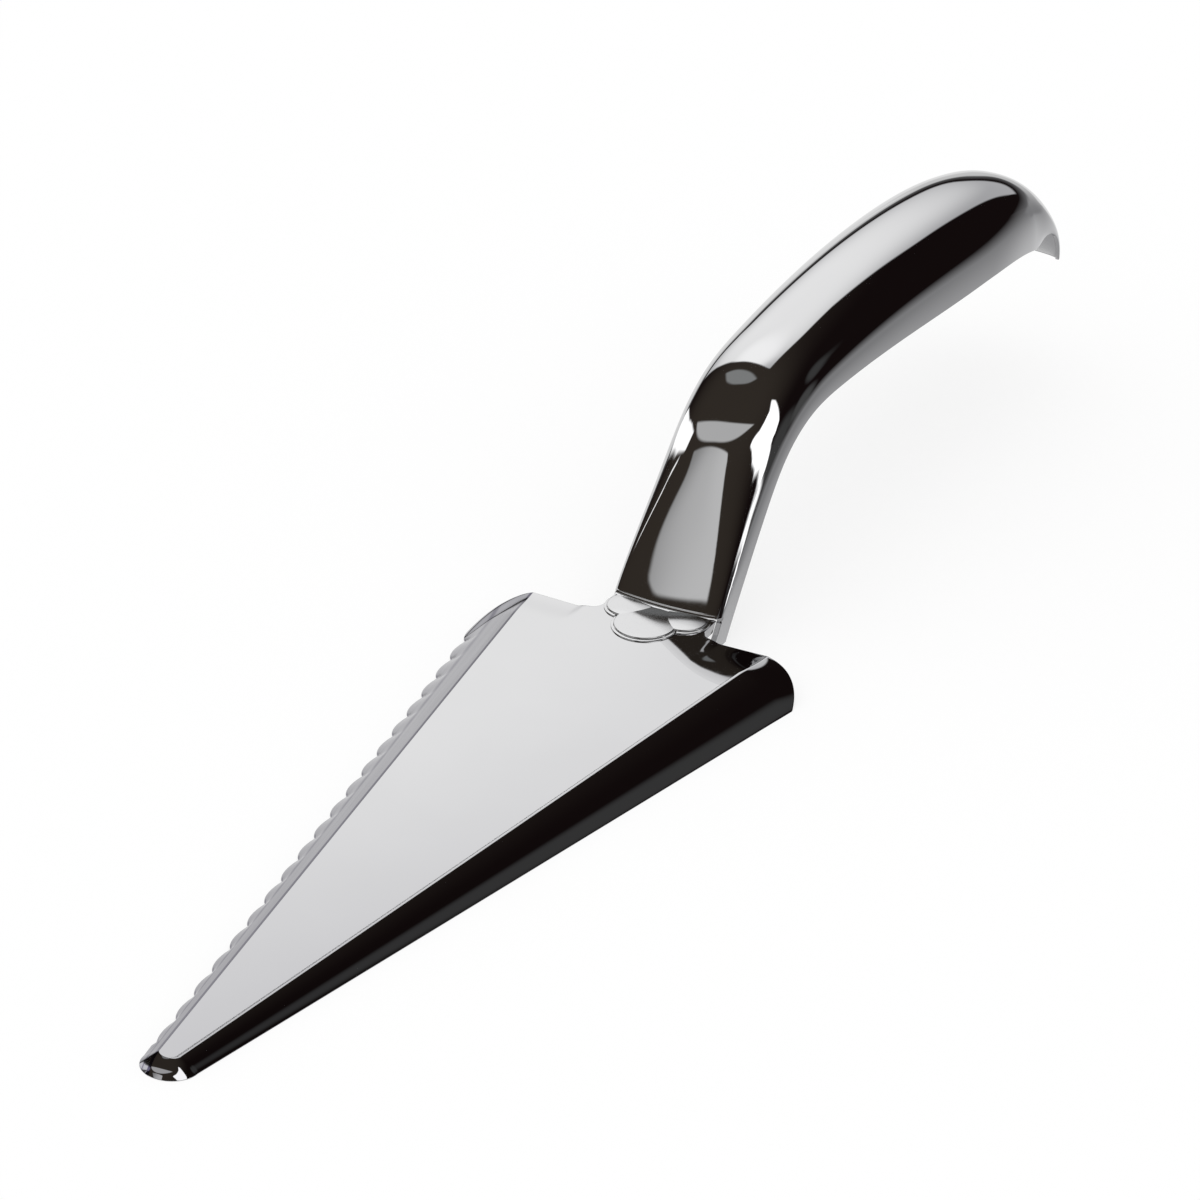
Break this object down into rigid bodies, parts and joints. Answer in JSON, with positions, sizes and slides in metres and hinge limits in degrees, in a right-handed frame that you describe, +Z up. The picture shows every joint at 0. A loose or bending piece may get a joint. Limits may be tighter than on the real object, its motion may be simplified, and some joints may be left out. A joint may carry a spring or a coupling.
{
  "type": "cake server",
  "caption": "Polished wedge-blade cake server with rolled side walls, one toothed rim, a lobed foot plate at the neck and a hollow cranked handle that ends in a hook.",
  "frame": {"origin": "on the table plane that the wall rims rest on, under the middle of the server's overall box", "axes": "+X from the blade's tip to the handle's hook, +Y to the toothed side, +Z up from the table"},
  "size_m": [0.2574, 0.0533, 0.039],
  "materials": {
    "polished_metal": "mirror polish",
    "plain_steel": "brushed"
  },
  "bodies": {
    "root": {"blade": "polished_metal", "handle_shell": "polished_metal", "scallop_foot": "polished_metal", "tang": "plain_steel", "rivets": "plain_steel"}
  },
  "joints": []
}
